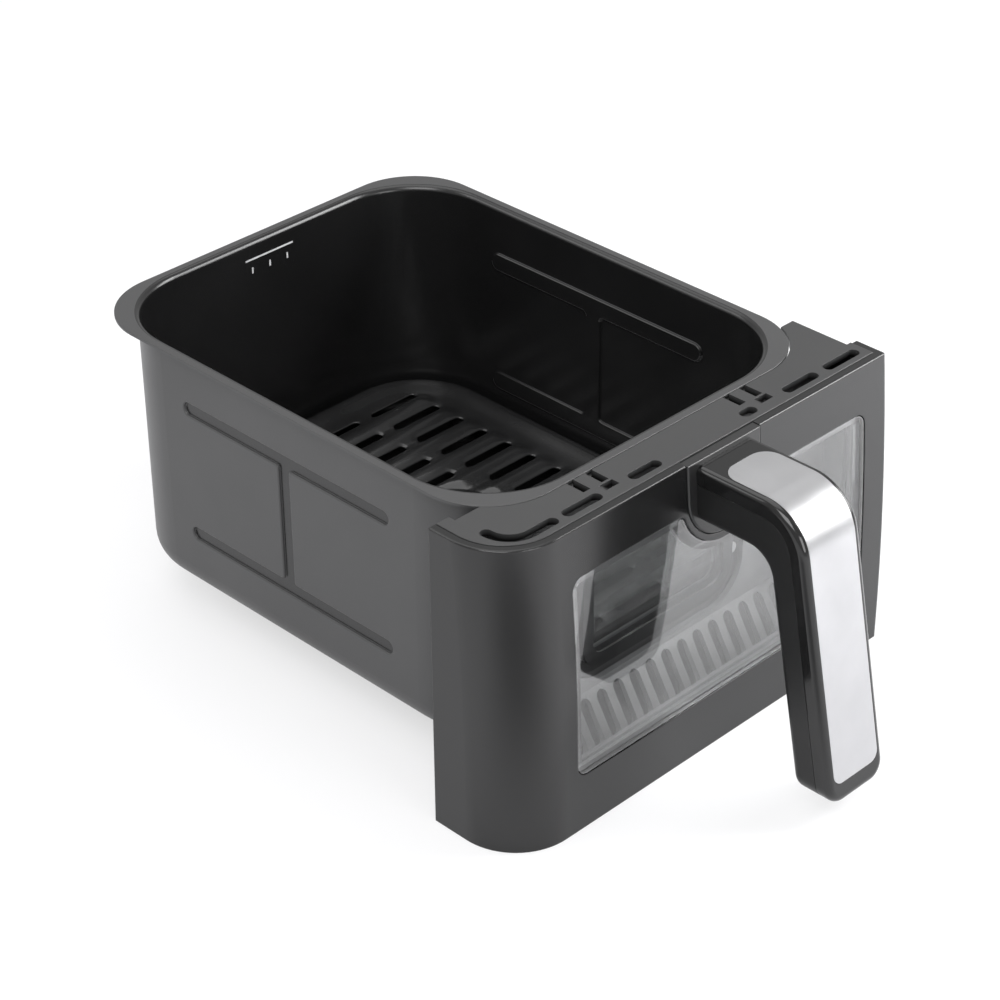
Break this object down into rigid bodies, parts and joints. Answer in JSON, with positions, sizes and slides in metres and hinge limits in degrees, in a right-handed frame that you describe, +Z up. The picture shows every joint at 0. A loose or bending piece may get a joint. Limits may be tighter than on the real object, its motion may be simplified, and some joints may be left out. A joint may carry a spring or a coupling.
{
  "type": "air fryer drawer",
  "caption": "Air fryer drawer: deep flanged pan behind a rounded front panel with a viewing window and a drop handle, with a slotted crisper plate that lifts out.",
  "frame": {"origin": "middle of the pan's base, on its underside", "axes": "+Z up, +X to the right seen from the front, +Y from the front panel to the back of the pan"},
  "size_m": [0.216, 0.3345, 0.1354],
  "materials": {
    "pan_coating": "satin non-stick coating",
    "crisper_coating": "gloss non-stick coating",
    "steel": "plain",
    "panel": "gloss",
    "trim": "satin",
    "liner": "fine grain",
    "glass": "clear",
    "seal": "matte silicone",
    "handle": "satin",
    "inlay": "satin"
  },
  "bodies": {
    "drawer": {"pan": "pan_coating", "pan_window_seal": "seal", "pan_window_glass": "glass", "pan_window_frame": "steel", "pan_bracket_left": "steel", "pan_bracket_right": "steel", "pan_rivets": "steel", "pan_window_screws": "steel", "front_panel": "panel", "window_glass": "glass", "window_gasket": "seal", "window_shroud": "liner", "door_liner": "liner", "liner_screws": "steel", "bracket_screws": "steel", "handle_socket": "trim", "handle_front_shell": "handle", "handle_inlay": "inlay", "handle_rear_shell": "handle", "handle_core": "steel", "socket_plate": "steel", "socket_screws": "steel", "top_trim": "trim"},
    "crisper": {"crisper_plate": "crisper_coating", "crisper_foot_front_left": "seal", "crisper_foot_front_right": "seal", "crisper_foot_back_left": "seal", "crisper_foot_back_right": "seal"}
  },
  "joints": [
    {"name": "crisper_lift", "type": "slide", "parent": "drawer", "child": "crisper", "axis": [0, 0, 1], "range_m": [0, 0.13]}
  ]
}
